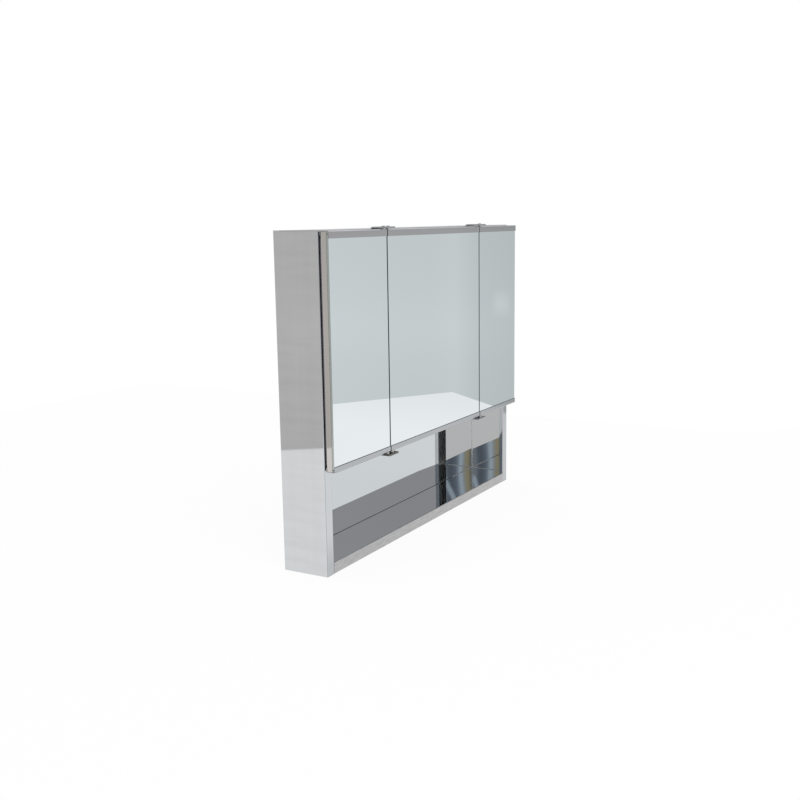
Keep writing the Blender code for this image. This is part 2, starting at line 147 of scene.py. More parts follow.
def mix(tree, factor, first, second, blend="MIX"):
    """Mixes two colours."""
    node = add(tree, "ShaderNodeMix", {0: factor, 6: first, 7: second}, data_type="RGBA", blend_type=blend)
    return node.outputs[2]


def new_finish(name, colour, metallic, roughness):
    """A named material, its tree and its shader with its plain values set."""
    made = bpy.data.materials.new(name)
    made.use_nodes = True
    shader = made.node_tree.nodes["Principled BSDF"]
    feed(shader, {"Base Color": linear(colour), "Metallic": metallic, "Roughness": roughness})
    return made, made.node_tree, shader


def in_scene(name, data):
    """A new object in the scene."""
    made = bpy.data.objects.new(name, data)
    bpy.context.scene.collection.objects.link(made)
    return made


def new_piece(name, shape, finishes=()):
    """A new object from a bmesh, which is used up."""
    mesh = bpy.data.meshes.new(name)
    shape.to_mesh(mesh)
    shape.free()
    for finish in finishes:
        mesh.materials.append(finish)
    return in_scene(name, mesh)


print("white is", linear("#ffffff"), "and mid grey is", round(linear("#808080")[0], 3))

# %% [markdown]
# ## The camera
# The photograph was taken from the cabinet's left front, a little above its top, with a lens of normal
# length. The position was worked out from the straight edges of the cabinet: parallel edges meet at
# vanishing points, and these fix the turn, the tilt and the focal length together.

# %% Set up the camera
IMAGE_SIDE = 800
FOCAL_PIXELS = 1027.78
SENSOR = 36.0
CAMERA_PLACE = Vector((-1.8856, -1.0443, 0.6414))
TURN, TILT, LEAN = (math.radians(angle) for angle in (60.13, -9.95, -0.87))


def camera_matrix():
    """Columns are the camera's right, up and backward directions, then its place."""
    ahead = Vector((math.sin(TURN) * math.cos(TILT), math.cos(TURN) * math.cos(TILT), math.sin(TILT)))
    level = Vector((math.cos(TURN), -math.sin(TURN), 0.0))
    upward = level.cross(ahead)
    right = level * math.cos(LEAN) + upward * math.sin(LEAN)
    up = upward * math.cos(LEAN) - level * math.sin(LEAN)
    columns = Matrix((right, up, -ahead)).transposed()
    return Matrix.Translation(CAMERA_PLACE) @ columns.to_4x4()


camera = in_scene("camera", bpy.data.cameras.new("camera"))
camera.data.sensor_width = SENSOR
camera.data.lens = FOCAL_PIXELS * SENSOR / IMAGE_SIDE
camera.matrix_world = camera_matrix()
bpy.context.scene.camera = camera
bpy.context.scene.view_settings.view_transform = "Standard"
print("lens:", round(camera.data.lens, 2), "mm")

# %% [markdown]
# ## The table
# A mirror shows what stands in front of it, so the table matters as much as the cabinet. In the photograph
# the doors show the far corner of a white table with a dimmer room behind it, and the left side shows its
# left edge as a level line. Both were traced back through the reflections to the plate below. The camera and
# the mirrors see it near full white, while it still takes the cabinet's soft shadow.

# %% Build the table
TABLE_CORNERS = [(-1.25, -2.60), (1.519, -0.792), (1.20, -0.38), (1.20, 1.90), (-0.276, 1.90), (-2.50, -0.98)]
TABLE_THICKNESS, TABLE_ROUGHNESS = 0.03, 0.8
# How much of the table's look is plain white light, the rest being the lamp's light and the shadow
TABLE_GLOW = 0.93
# Places along X between which the table dims towards its far corner, and how much of its light is left there
FAR_FROM, FAR_TO, FAR_SHARE = 0.80, 1.35, 0.93


def table_white():
    """Matt white laminate. The share of plain white light keeps it white to the eye and in the mirrors."""
    made, tree, shader = new_finish("matt_white_table", "#f7f7f6", 0.0, TABLE_ROUGHNESS)
    path = add(tree, "ShaderNodeLightPath").outputs
    far = spread(tree, place_on_piece(tree)[0], FAR_FROM, FAR_TO, 1.0, FAR_SHARE)
    level = maths(tree, "MAXIMUM", far, path["Is Camera Ray"])
    glow = add(tree, "ShaderNodeEmission", {"Color": linear("#ffffff"), "Strength": level})
    direct = maths(tree, "MAXIMUM", path["Is Camera Ray"], path["Is Glossy Ray"])
    share = maths(tree, "MULTIPLY", direct, TABLE_GLOW)
    mixed = add(tree, "ShaderNodeMixShader", {0: share, 1: shader.outputs[0], 2: glow.outputs[0]})
    feed(tree.nodes["Material Output"], {"Surface": mixed.outputs[0]})
    return made


def table_plate():
    shape = bmesh.new()
    top = shape.faces.new([shape.verts.new((x, y, 0.0)) for x, y in TABLE_CORNERS])
    lowered = bmesh.ops.extrude_face_region(shape, geom=[top])
    moved = [item for item in lowered["geom"] if isinstance(item, bmesh.types.BMVert)]
    bmesh.ops.translate(shape, verts=moved, vec=(0, 0, -TABLE_THICKNESS))
    bmesh.ops.recalc_face_normals(shape, faces=shape.faces)
    return new_piece("table", shape, [table_white()])


table = table_plate()
table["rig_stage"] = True
print("table faces:", len(table.data.polygons))

# %% [markdown]
# ## The room's light
# A mirror needs no modelled room. This one is only painted, as shades by compass direction and by height.
# Pale walls stand at eye level, and the light grows towards the ceiling. Behind the camera it is dark, with
# cool and warm strips: a polished corner sends that view straight back, and it gives the open shelf its
# contrast.

# %% Choose the light in each direction
# Compass direction in degrees, from +X towards +Y, and what a mirror sees there at eye level
WALLS = [(-180, "#c6c7c9"), (-154, "#bcbec2"), (-90, "#cfd0d1"), (-60, "#d3d5d6"), (-34, "#d8dcdc"),
         (-29, "#d4d8d8"), (-27.6, "#d4d8d7"), (-27.0, "#d9dcd9"), (-26.4, "#d4d8d7"), (-25.6, "#d1d4d4"),
         (-25.2, "#c9cdce"), (-24.4, "#cacecf"), (-23.4, "#c4c9c6"), (-16, "#b6babc"), (10, "#d6d8d9"),
         (40, "#e8e9e9"), (90, "#f2f3f3"), (130, "#d8d7d6"), (144, "#d4d3d1"), (160, "#d2d2d1"),
         (180, "#c6c7c9")]
# Height above eye level in degrees, and the share of the wall's light there
HEIGHTS = [(-90, 0.80), (-14, 0.96), (-8, 1.00), (-6, 1.04), (-3.5, 1.00), (0, 0.97), (6, 0.90), (14, 0.81),
           (26, 1.00), (42, 1.35), (60, 1.45), (90, 1.50)]
# Patches are given as where they start and end and how soft their edges are, in degrees round and up.
# On the wall that the mirrors face, the light turns a little warmer above eye level
WARM_WALL = (-45, -15, 12)
WARMTH = [(-90, "#ffffff"), (0, "#ffffff"), (9, "#fff2f4"), (18, "#fff4f5"), (34, "#ffffff"), (90, "#fffdfb")]
# A pale spot on that wall, which shows in the right door, and how much brighter it is
SPOT_ROUND, SPOT_UP, SPOT_GAIN = (-24.25, -24.05, 0.6), (-4.75, -4.55, 0.9), 1.11
# The view back towards the camera: where it lies, the two ends of its ramp, and its strips from left to right
BACK_ROUND, BACK_UP, BACK_ENDS = (-158, -150, 4), (9, 20, 4), (-156, -153)
BEHIND = [(-153.35, "#a9afb4"), (-153.52, "#a0a7b0"), (-153.65, "#7e8691"), (-153.85, "#7b828d"),
          (-154.08, "#8a94a1"), (-154.22, "#a3b0bf"), (-154.35, "#dcebf8"), (-154.48, "#e4f2ff"),
          (-154.58, "#ccd5da"), (-154.68, "#c8c5b4"), (-154.80, "#cec29e"), (-154.92, "#c4b897"),
          (-155.02, "#95938a"), (-155.12, "#9fa4a8")]
# A slanting streak in that view: where it lies, its slant for each degree up from its foot, and its light
STREAK_ROUND, STREAK_UP = (-153.49, -153.37, 0.16), (14.25, 17, 0.3)
STREAK_SLANT, STREAK_FOOT, STREAK_LIGHT = 0.45, 14.4, "#d8e8f6"
ALL_ROUND, DOWN_TO_UP = (-180, 180), (-90, 90)
print("stops round the walls:", len(WALLS), "and behind the camera:", len(BEHIND))

# %% [markdown]
# ## Angles and colours
# A colour ramp runs from 0 to 1, so each angle is first spread over that range. A ramp can't hold a value
# above 1, so gains are halved in it and doubled afterwards. Two windows with soft edges, one round and one
# up, pick out a patch of the room.

# %% Turn angles into colours


def ramp(tree, angle, stops, ends):
    """A colour ramp over an angle. Its stops and its two ends are given in degrees."""
    start, end = ends
    node = add(tree, "ShaderNodeValToRGB", {0: spread(tree, angle, start, end)})
    band = node.color_ramp
    while len(band.elements) > 1:
        band.elements.remove(band.elements[-1])
    for i, (degrees, value) in enumerate(sorted(stops)):
        place = (degrees - start) / (end - start)
        stop = band.elements[0] if i == 0 else band.elements.new(place)
        stop.position = place
        stop.color = linear(value) if isinstance(value, str) else [value / 2] * 3 + [1.0]
    return node.outputs[0]


def window(tree, angle, start, end, edge):
    """1 while the angle is between start and end, with soft edges."""
    rise = spread(tree, angle, start - edge, start, curve="SMOOTHSTEP")
    fall = spread(tree, angle, end, end + edge, 1.0, 0.0, "SMOOTHSTEP")
    return maths(tree, "MULTIPLY", rise, fall)


def patch(tree, compass, height, across, up):
    """1 inside a patch of the room, with soft edges all round."""
    return maths(tree, "MULTIPLY", window(tree, compass, *across), window(tree, height, *up))


print("a stop is an angle and a colour, such as", WALLS[0])

# %% [markdown]
# ## Painting the room
# The world's shader gets the direction of each ray, and two inverse functions turn it into a compass
# direction and a height. Only reflections see the painted room. The camera sees plain white, and matt
# things get plain even light, so the pattern in the mirrors doesn't tint anything else.

# %% Paint the room


def paint_world():
    world = bpy.data.worlds.new("studio")
    bpy.context.scene.world = world
    world.use_nodes = True
    tree = world.node_tree
    ray = add(tree, "ShaderNodeTexCoord").outputs["Generated"]
    way = add(tree, "ShaderNodeSeparateXYZ", {0: ray}).outputs
    compass = maths(tree, "DEGREES", maths(tree, "ARCTAN2", way[1], way[0]))
    height = maths(tree, "DEGREES", maths(tree, "ARCSINE", way[2]))
    doubled = mix(tree, 1.0, ramp(tree, height, HEIGHTS, DOWN_TO_UP), [2.0, 2.0, 2.0, 1.0], "MULTIPLY")
    room = mix(tree, 1.0, ramp(tree, compass, WALLS, ALL_ROUND), doubled, "MULTIPLY")
    warmer = mix(tree, 1.0, room, ramp(tree, height, WARMTH, DOWN_TO_UP), "MULTIPLY")
    room = mix(tree, window(tree, compass, *WARM_WALL), room, warmer)
    brighter = mix(tree, 1.0, room, [SPOT_GAIN] * 3 + [1.0], "MULTIPLY")
    room = mix(tree, patch(tree, compass, height, SPOT_ROUND, SPOT_UP), room, brighter)
    behind = ramp(tree, compass, BEHIND, BACK_ENDS)
    slant = maths(tree, "MULTIPLY_ADD", height, STREAK_SLANT, -STREAK_SLANT * STREAK_FOOT)
    slanted = maths(tree, "ADD", compass, slant)
    behind = mix(tree, patch(tree, slanted, height, STREAK_ROUND, STREAK_UP), behind, linear(STREAK_LIGHT))
    reflected = mix(tree, patch(tree, compass, height, BACK_ROUND, BACK_UP), room, behind)
    path = add(tree, "ShaderNodeLightPath").outputs
    even = mix(tree, path["Is Glossy Ray"], linear("#eeeeee"), reflected)
    feed(tree.nodes["Background"], {"Color": mix(tree, path["Is Camera Ray"], even, linear("#ffffff"))})
    world.cycles.sampling_method = "NONE"
    return world


print("world:", paint_world().name)

# %% [markdown]
# ## The lamp
# One large lamp from the left front, high up, is enough. Its size makes the shadows soft, and it is kept
# out of the mirrors, because there the painted room already gives the light its shape.

# %% Add the lamp
LAMP_PLACE, LAMP_AIM = Vector((-1.3, -1.9, 2.4)), Vector((0, 0, 0.3))
LAMP_SIDE, LAMP_WATTS = 1.6, 22.0
lamp = in_scene("soft_lamp", bpy.data.lights.new("soft_lamp", "AREA"))
lamp.data.shape = "SQUARE"
lamp.data.size = LAMP_SIDE
lamp.data.energy = LAMP_WATTS
lamp.location = LAMP_PLACE
lamp.rotation_mode = "QUATERNION"
lamp.rotation_quaternion = (LAMP_AIM - LAMP_PLACE).to_track_quat("-Z", "Y")
lamp.visible_glossy = False
lamp.visible_camera = False
print("lamp:", lamp.data.energy, "W over", lamp.data.size, "m")

# %% [markdown]
# ## Finish: brushed stainless steel
# The sheet is brushed along its length with a fine belt. Each brush line is a groove, so light spreads across
# the lines and stays sharp along them. That is why the side shows the table's edge as a crisp level line, yet
# blurs everything sideways into bands. The shader's Anisotropic setting does this, and the tangent says which
# way the lines run. Fine stretched noise adds the lines themselves.

# %% Set the grain's sizes
# The grain runs along X on level sheet and along Z on upright sheet. A pattern's size is its width across the
# grain and its length along it.
LEVEL, UPRIGHT = 0, 2
# Real lines are 0.05 to 0.2 mm apart. They are drawn coarser, or the picture would lose them.
LINE_SIZE = (0.6 * MM, 90 * MM)
LINE_DEPTH, LINE_STRENGTH = 0.006 * MM, 0.3
# Broad bands along the grain are a little darker, and a little rougher or smoother
BAND_SIZE = (9 * MM, 540 * MM)
BAND_SHARE, BAND_ROUGHNESS = 0.97, 0.015
# On the rail a coarser belt has left short streaks that can be seen
STREAK_SIZE = (2.2 * MM, 22 * MM)
# Wiping across the brush lines leaves very faint level clouds on the walls
WIPE_SIZE = (110 * MM, 13 * MM)
# The shader spreads light along the tangent, so it is turned square to the lines, in parts of a full turn
QUARTER_TURN = 0.25
# Roughness from and to: on broad sheet, where hands and cloths rub, and on skins that were never brushed
CLEAN, RUBBED, RAW = (0.035, 0.055), (0.12, 0.20), (0.42, 0.52)
# How much of the spread across the lines is left on rubbed steel and on raw steel
RUBBED_GRAIN, RAW_GRAIN = 0.9, 0.2
# Heights between which the left stile's darker foot fades out, and the share of light left at the foot. The
# darkening is painted shade: the cabinet's shadow on the table, as the stile reflects it.
FOOT_SHADE_HEIGHTS, FOOT_SHADE_SHARE = (20 * MM, 78 * MM), 0.80
print("brush lines every", LINE_SIZE[0] / MM, "mm")

# %% [markdown]
# ## Patterns in millimetres
# Every pattern on this cabinet is noise on Object coordinates, which are metres here. Dividing by the size of
# one cell, with another size along the grain, gives marks of a known width and length, and they move with a
# door.

# %% Make patterns of a known size
# Noise runs from 0 to 1, but hardly ever leaves this middle range
NOISE_RANGE = (0.3, 0.7)


def stretched(tree, across, along, grain, detail=2.0):
    """Noise with cells this wide across the grain and this long along it."""
    scale = [1 / across] * 3
    scale[grain] = 1 / along
    place = add(tree, "ShaderNodeTexCoord").outputs["Object"]
    scaled = add(tree, "ShaderNodeMapping", {"Vector": place, "Scale": scale})
    noise = add(tree, "ShaderNodeTexNoise", {"Vector": scaled.outputs[0], "Scale": 1.0, "Detail": detail})
    return noise.outputs[0]


def ranged(tree, value, low, high):
    """Spreads a noise's middle range between two values."""
    return spread(tree, value, *NOISE_RANGE, low, high)


def grain_direction(tree, grain):
    """The brush lines' direction on the piece, turned with it when its door opens."""
    line = add(tree, "ShaderNodeCombineXYZ", {grain: 1.0})
    turned = add(tree, "ShaderNodeVectorTransform", {0: line.outputs[0]}, vector_type="VECTOR",
                 convert_from="OBJECT", convert_to="WORLD")
    return turned.outputs[0]


print("cells of", BAND_SIZE[0] / MM, "mm are a scale of", round(1 / BAND_SIZE[0]), "to the metre")

# %% [markdown]
# ## One recipe for all brushed sheet
# Each brushed finish is the same recipe with its own colour. Some colours differ with how worn or how clean a
# face is, while the stiles, the folds and the lower channels carry painted shade, and the channels' upper
# edges a painted highlight. Roughness is low on the broad sheets and higher on the rail and the channels,
# which get touched.
# The raw skins that face inwards were never brushed, and are nearly matt. On the flanges' inner skins this
# matt is near-white, which is painted light: it lifts the shade behind the stiles.

# %% Mix the brushed steel


def brushed_steel(name, grain, colour="#d0d1d3", roughness=CLEAN, anisotropy=1.0, streaks=1.0, wiped=1.0,
                  metallic=1.0):
    """Streaks and wiped are the share of light left in the darkest streak or cloud, and 1 leaves them out."""
    made, tree, shader = new_finish(name, colour, metallic, roughness[0])
    bands = stretched(tree, *BAND_SIZE, grain)
    lines = stretched(tree, *LINE_SIZE, grain, 3.0)
    darker = [part * BAND_SHARE for part in linear(colour)[:3]] + [1.0]
    tint = mix(tree, ranged(tree, bands, 0.0, 1.0), linear(colour), darker)
    for darkest, lightest, size in ((wiped, 1.0, WIPE_SIZE), (streaks, 2.0 - streaks, STREAK_SIZE)):
        if darkest < 1.0:
            marks = ranged(tree, stretched(tree, *size, grain, 1.0), darkest, lightest)
            tint = mix(tree, 1.0, tint, marks, "MULTIPLY")
    rough = maths(tree, "ADD", ranged(tree, lines, *roughness),
                  ranged(tree, bands, -BAND_ROUGHNESS, BAND_ROUGHNESS))
    bump = add(tree, "ShaderNodeBump", {"Height": lines, "Strength": LINE_STRENGTH, "Distance": LINE_DEPTH})
    feed(shader, {"Base Color": tint, "Roughness": rough, "Normal": bump.outputs[0],
                  "Tangent": grain_direction(tree, grain), "Anisotropic": anisotropy,
                  "Anisotropic Rotation": QUARTER_TURN})
    return made


def paint_foot_shade(finish):
    """Darkens a stile's foot: painted shade, for the cabinet's shadow on the table that the stile reflects."""
    tree = finish.node_tree
    shader = tree.nodes["Principled BSDF"]
    share = spread(tree, place_on_piece(tree)[2], *FOOT_SHADE_HEIGHTS, FOOT_SHADE_SHARE, 1.0)
    steel = shader.inputs["Base Color"].links[0].from_socket
    feed(shader, {"Base Color": mix(tree, 1.0, steel, share, "MULTIPLY")})


upright_steel = brushed_steel("brushed_stainless_steel_upright", UPRIGHT, "#d2d3d5", wiped=0.955)
# The stiles are folded from the same sheet as the walls. Their own darker colours are painted shade, matched
# to the light each one reflects, and the right one is darker still.
left_stile_shaded_steel = brushed_steel("brushed_stainless_stile_left_painted_shade", UPRIGHT, "#cbcfd2")
right_stile_shaded_steel = brushed_steel("brushed_stainless_stile_right_painted_shade", UPRIGHT, "#bcbec1")
level_steel = brushed_steel("brushed_stainless_steel_level", LEVEL)
door_steel = brushed_steel("brushed_stainless_door", UPRIGHT, "#cac6c3")
# The fold between wall and stile is darker: painted shade, for the shade and dark reflection in the bend.
fold_shade_steel = brushed_steel("brushed_stainless_fold_painted_shade", UPRIGHT, "#999da0", RUBBED, RUBBED_GRAIN)
rail_steel = brushed_steel("brushed_stainless_rail", LEVEL, "#b1b1b2", RUBBED, RUBBED_GRAIN, 0.89)
trim_steel = brushed_steel("brushed_stainless_trim", LEVEL, "#b9b7ba", RUBBED, RUBBED_GRAIN)
# The lower channels are the same steel as the upper ones. Their darker, cooler colour is painted shade.
low_trim_shaded_steel = brushed_steel("brushed_stainless_trim_low_painted_shade", LEVEL, "#b2b5b8", RUBBED, RUBBED_GRAIN)
raw_steel = brushed_steel("mill_finish_stainless", UPRIGHT, "#c8c8c8", RAW, RAW_GRAIN, metallic=0.45)
# Near-white matt on the flanges' inner skins: painted light, which lifts the shade behind the stiles.
pale_skin_painted_light = brushed_steel("pale_mill_skin_painted_light", UPRIGHT, "#f0efee", RAW, RAW_GRAIN, metallic=0.0)
lip_steel = brushed_steel("brushed_stainless_lip", LEVEL, "#c6c7c9")
# The channels' upper edges are near-white: a painted highlight along each edge.
edge_highlight_steel = brushed_steel("brushed_stainless_trim_edge_painted_highlight", LEVEL, "#f0f1f4", RUBBED, RUBBED_GRAIN)
# Painted shade at the left stile's foot
paint_foot_shade(left_stile_shaded_steel)
print("roughness of clean, rubbed and raw steel:", CLEAN, RUBBED, RAW)

# %% [markdown]
# ## Finish: polished stainless steel
# The open shelf's back and floor are the same sheet, buffed to a mirror. Thin sheet is never quite flat, so
# a broad, very low swell bends the reflections a little, and fine buffing marks give them a slight haze.

# %% Mix the polished steel
MARK_SIZE, MARK_ROUGHNESS, POLISH = (2.5 * MM, 60 * MM), (0.004, 0.02), 0.01
SWELL_SIZE, SWELL_HEIGHT = (150 * MM, 220 * MM), 0.12 * MM
# How much the side sheets turn towards each other for each metre along Y: they open a little to the front
FLAT, SIDE_OPEN = 0.0, -0.0074
# The back leans forward at its top, but stiffens towards the right side, where it is welded
BACK_LEAN, LEAN_ENDS = 0.0195, (0.120, 0.240)


def polished_steel(name, colour, open_by=FLAT):
    made, tree, shader = new_finish(name, colour, 1.0, POLISH)
    rough = ranged(tree, stretched(tree, *MARK_SIZE, LEVEL, 4.0), *MARK_ROUGHNESS)
    turned = maths(tree, "MULTIPLY", place_on_piece(tree)[1], open_by)
    swell = stretched(tree, *SWELL_SIZE, LEVEL, 0.0)
    raised = maths(tree, "MULTIPLY_ADD", swell, SWELL_HEIGHT, turned)
    bump = add(tree, "ShaderNodeBump", {"Height": raised, "Strength": 1.0, "Distance": 1.0})
    feed(shader, {"Roughness": rough, "Normal": bump.outputs[0]})
    return made


def lean(finish):
    """Tips the normals down, as on a sheet that leans forward at its top."""
    tree = finish.node_tree
    shader = tree.nodes["Principled BSDF"]
    upright = shader.inputs["Normal"].links[0].from_socket
    share = spread(tree, place_on_piece(tree)[0], *LEAN_ENDS, -BACK_LEAN, 0.0)
    tip = add(tree, "ShaderNodeCombineXYZ", {2: share})
    tipped = add(tree, "ShaderNodeVectorMath", {0: upright, 1: tip.outputs[0]}, operation="ADD")
    unit = add(tree, "ShaderNodeVectorMath", {0: tipped.outputs[0]}, operation="NORMALIZE")
    feed(shader, {"Normal": unit.outputs[0]})


polished = polished_steel("polished_stainless_steel", "#c9ced1")
# The side walls' polished skin is lighter and warmer than the back's: painted light, for the light seen in the
# shelf after several reflections.
polished_side_lit = polished_steel("polished_stainless_side_painted_light", "#dcd9d7", SIDE_OPEN)
polished_back = polished_steel("polished_stainless_back", "#c9ced1")
lean(polished_back)
print("the back leans by", round(math.degrees(BACK_LEAN), 2), "degrees")

# %% [markdown]
# ## Finish: silvered mirror glass
# A mirror is clear glass with silver behind it. The pale green of the reflection comes from light passing
# twice through 4 mm of glass. Seen edge on, the path through the glass is long, so the edges are much
# greener.

# %% Mix the mirror and its edge
# A film left by wiping, and the marks of the grinding belt on an edge
FILM_SIZE, FILM_ROUGHNESS = (45 * MM, 60 * MM), (0.0, 0.022)
GRIND_SIZE, GRIND_ROUGHNESS = (0.5 * MM, 3 * MM), 0.2
GLASS_IOR = 1.52


def mirror_silver():
    made, tree, shader = new_finish("silvered_float_glass", "#e7ecef", 1.0, 0.0)
    feed(shader, {"Roughness": ranged(tree, stretched(tree, *FILM_SIZE, UPRIGHT, 3.0), *FILM_ROUGHNESS)})
    return made


def glass_edge(name, low, high, shine):
    made, tree, shader = new_finish(name, low, shine, GRIND_ROUGHNESS)
    marks = ranged(tree, stretched(tree, *GRIND_SIZE, LEVEL), 0.0, 1.0)
    feed(shader, {"Base Color": mix(tree, marks, linear(low), linear(high)), "IOR": GLASS_IOR})
    return made


silver = mirror_silver()
edge_glass = glass_edge("ground_glass_edge", "#aeb5b1", "#bcc3bf", 0.97)
# Edges at a joint are darker and less shiny: painted shade.
joint_glass_shaded = glass_edge("glass_edge_painted_shade", "#4c5f59", "#5c6f69", 0.6)
print("mirror finishes:", [silver.name, edge_glass.name, joint_glass_shaded.name])

# %% [markdown]
# ## Finishes: the small parts
# Brackets and hanger plates are zinc plated steel, a little darker and more mottled than stainless. Housings
# and bushes are moulded nylon, buffers are soft rubber, and the boards inside the doors are hardboard, whose
# pressed fibres show as flecks. One noise varies the colour, the roughness and the surface together.

# %% Mix the small parts' finishes
METAL, MATT = 1.0, 0.0
RELIEF_STRENGTH = 0.5


def mottled(name, low, high, metallic, roughness, cell, relief, grain=UPRIGHT, stretch=1.0):
    """A finish whose colour, roughness and surface all vary with one noise of the given cell size."""
    made, tree, shader = new_finish(name, low, metallic, roughness[0])
    cells = stretched(tree, cell, cell * stretch, grain, 4.0)
    bump = add(tree, "ShaderNodeBump", {"Height": cells, "Strength": RELIEF_STRENGTH, "Distance": relief})
    feed(shader, {"Base Color": mix(tree, ranged(tree, cells, 0.0, 1.0), linear(low), linear(high)),
                  "Roughness": ranged(tree, cells, *roughness), "Normal": bump.outputs[0]})
    return made


# Darker zinc for the lower left hinge bracket: painted shade.
shaded_zinc = mottled("zinc_plate_painted_shade", "#66625f", "#85817d", METAL, (0.26, 0.40), 1.5 * MM, 0.01 * MM)
zinc = mottled("bright_zinc_plate", "#a9abae", "#bdbfc2", METAL, (0.22, 0.34), 1.5 * MM, 0.01 * MM)
nylon = mottled("moulded_white_nylon", "#e6e5df", "#efeee9", MATT, (0.42, 0.55), 0.8 * MM, 0.01 * MM)
grey_nylon = mottled("moulded_grey_nylon", "#7f827e", "#8d908b", MATT, (0.42, 0.55), 0.8 * MM, 0.01 * MM)
rubber = mottled("soft_black_rubber", "#1c1c1d", "#29292a", MATT, (0.70, 0.85), 0.6 * MM, 0.02 * MM)
hardboard = mottled("pressed_hardboard", "#6d4d31", "#8f6a47", MATT, (0.75, 0.95), 0.7 * MM, 0.05 * MM,
                    LEVEL, 5.0)
ferrite = mottled("sintered_ferrite", "#2b2b2e", "#3a3a3d", MATT, (0.45, 0.65), 0.5 * MM, 0.01 * MM)
pin_steel = mottled("turned_stainless_steel", "#c4c6c8", "#d2d3d5", METAL, (0.12, 0.20), 0.3 * MM, 0.004 * MM)
weld_tint = mottled("heat_tinted_stainless", "#a59f94", "#bcb9b3", METAL, (0.30, 0.42), 0.6 * MM, 0.004 * MM)
# Dark silicone: a filler in the shelf's joint, and painted shade as the bead under each mirror.
dark_sealant_and_shade = mottled("dark_silicone_sealant_and_painted_shade", "#3b3e41", "#484c50", MATT, (0.28, 0.40), 1.0 * MM, 0.01 * MM)
print("finishes, with the packed model's own:", len(bpy.data.materials))

# %% [markdown]
# ## Folded sheet with rounded folds
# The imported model's meshes are loose triangles, so light breaks at each one. A copy is welded, its flat
# triangles are joined into whole faces, and its sheared edges are eased by a tenth of a millimetre, as the
# deburring wheel does. Weighted normals let the folds shade round while the flats stay truly flat, which
# matters on steel that mirrors.

# %% Weld a copy and ease its edges
SHEET = 1.0 * MM
EASE = 0.12 * MM
WELD = 0.001 * MM
# Angles in degrees: triangles this flat join, edges this sharp are eased, and gentler ones shade round
FLAT_WITHIN, SHARP_ABOVE, ROUND_BELOW = 0.4, 60, 50
LARGEST_FACE_FIRST = 100


def welded(node):
    """A bmesh of a node with its triangles joined into whole flat faces."""
    shape = bmesh.new()
    shape.from_mesh(frame["nodes"][node].data)
    bmesh.ops.remove_doubles(shape, verts=shape.verts, dist=WELD)
    bmesh.ops.dissolve_limit(shape, angle_limit=math.radians(FLAT_WITHIN), verts=shape.verts,
                             edges=shape.edges)
    return shape


def ease_edges(shape, width, where=None):
    sharp = [edge for edge in shape.edges if len(edge.link_faces) == 2
             and edge.calc_face_angle() > math.radians(SHARP_ABOVE) and (where is None or where(edge))]
    bmesh.ops.bevel(shape, geom=sharp, offset=width, segments=2, profile=0.5, affect="EDGES",
                    clamp_overlap=True)


def shade_round(piece, below=ROUND_BELOW):
    """Shades a piece smooth, except over edges that are sharper than this."""
    piece.data.shade_smooth()
    piece.data.set_sharp_from_angle(angle=math.radians(below))


def keep_result(piece):
    """Makes the result of a piece's modifiers its own mesh."""
    made = bpy.data.meshes.new_from_object(piece.evaluated_get(bpy.context.evaluated_depsgraph_get()))
    piece.modifiers.clear()
    piece.data = made


def flat_normals_kept(piece):
    """Smooth shading in which the largest face at each corner decides the normal."""
    shade_round(piece)
    weigh = piece.modifiers.new("flat_faces_first", "WEIGHTED_NORMAL")
    weigh.weight = LARGEST_FACE_FIRST
    weigh.keep_sharp = True
    keep_result(piece)


print("edges are eased by", EASE / MM, "mm")

# %% [markdown]
# ## A copy that stands for its node
# The copy takes the node's place in the picture and rides on the same body, while the node stays as it is for
# the physics. Where one sheet shows several finishes, its faces are sorted between them.

# %% Let a copy stand for its node


def stand_for(node, finishes, ease=EASE, sort_faces=None, where=None):
    """Builds the finished copy of one node and puts it in the node's place."""
    shape = welded(node)
    if ease:
        ease_edges(shape, ease, where=where)
    if sort_faces:
        for face in shape.faces:
            face.material_index = sort_faces(face)
    piece = new_piece(f"{node}_finished", shape, finishes)
    flat_normals_kept(piece)
    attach(piece, frame["nodes"][node]["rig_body"])
    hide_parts(node)


# %% [markdown]
# ## One sheet, several skins
# A side panel is one sheet, but it isn't the same all over: brushed outside, polished where it lines the open
# shelf, left raw behind its flanges and darker along the fold. The near-white of the raw skin there is painted
# light, and the darker stile and fold are painted shade. Which way a face looks, and where it lies, is enough
# to tell these skins apart, so no seam has to be drawn by hand.

# %% Sort the faces by their finish
# How near a face's normal comes to a direction: squarely that way, or at least turned towards it
SQUARE, TURNED = 0.9, 0.3
# The same for a pan's back and for a channel's upper edge
PAN_BACK, CHANNEL_EDGE = 0.7, 0.25


def side_skins(side):
    """Sorts a side panel's faces: 0 outside, 1 the wall's inner skin, 2 the flanges' inner skins, lightened
    with painted light, 3 the stile, with painted shade, 4 the fold between wall and stile, darkened with
    painted shade."""
    outward = -1 if side == "left" else 1
    low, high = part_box(f"{side}_side_panel")
    outer = low.x if side == "left" else high.x

    def sort(face):
        place = face.calc_center_median()
        from_outside = abs(place.x - outer)
        way_out = face.normal.x * outward
        looks_in, looks_out = way_out < -SQUARE, way_out > SQUARE
        if looks_in and from_outside < 2 * SHEET:
            return 1
        at_front = place.y < (low.y + high.y) / 2
        if at_front and face.normal.y < -TURNED:
            return 4 if way_out > TURNED else 3
        behind_stile = at_front and (face.normal.y > SQUARE or looks_out and from_outside > 2 * SHEET)
        before_flange = not at_front and face.normal.y < -SQUARE
        return 2 if behind_stile or before_flange else 0
    return sort


def pan_skins(face):
    """0 for a door pan's brushed sides, 1 for the mill finish of its back."""
    return 1 if abs(face.normal.y) > PAN_BACK else 0


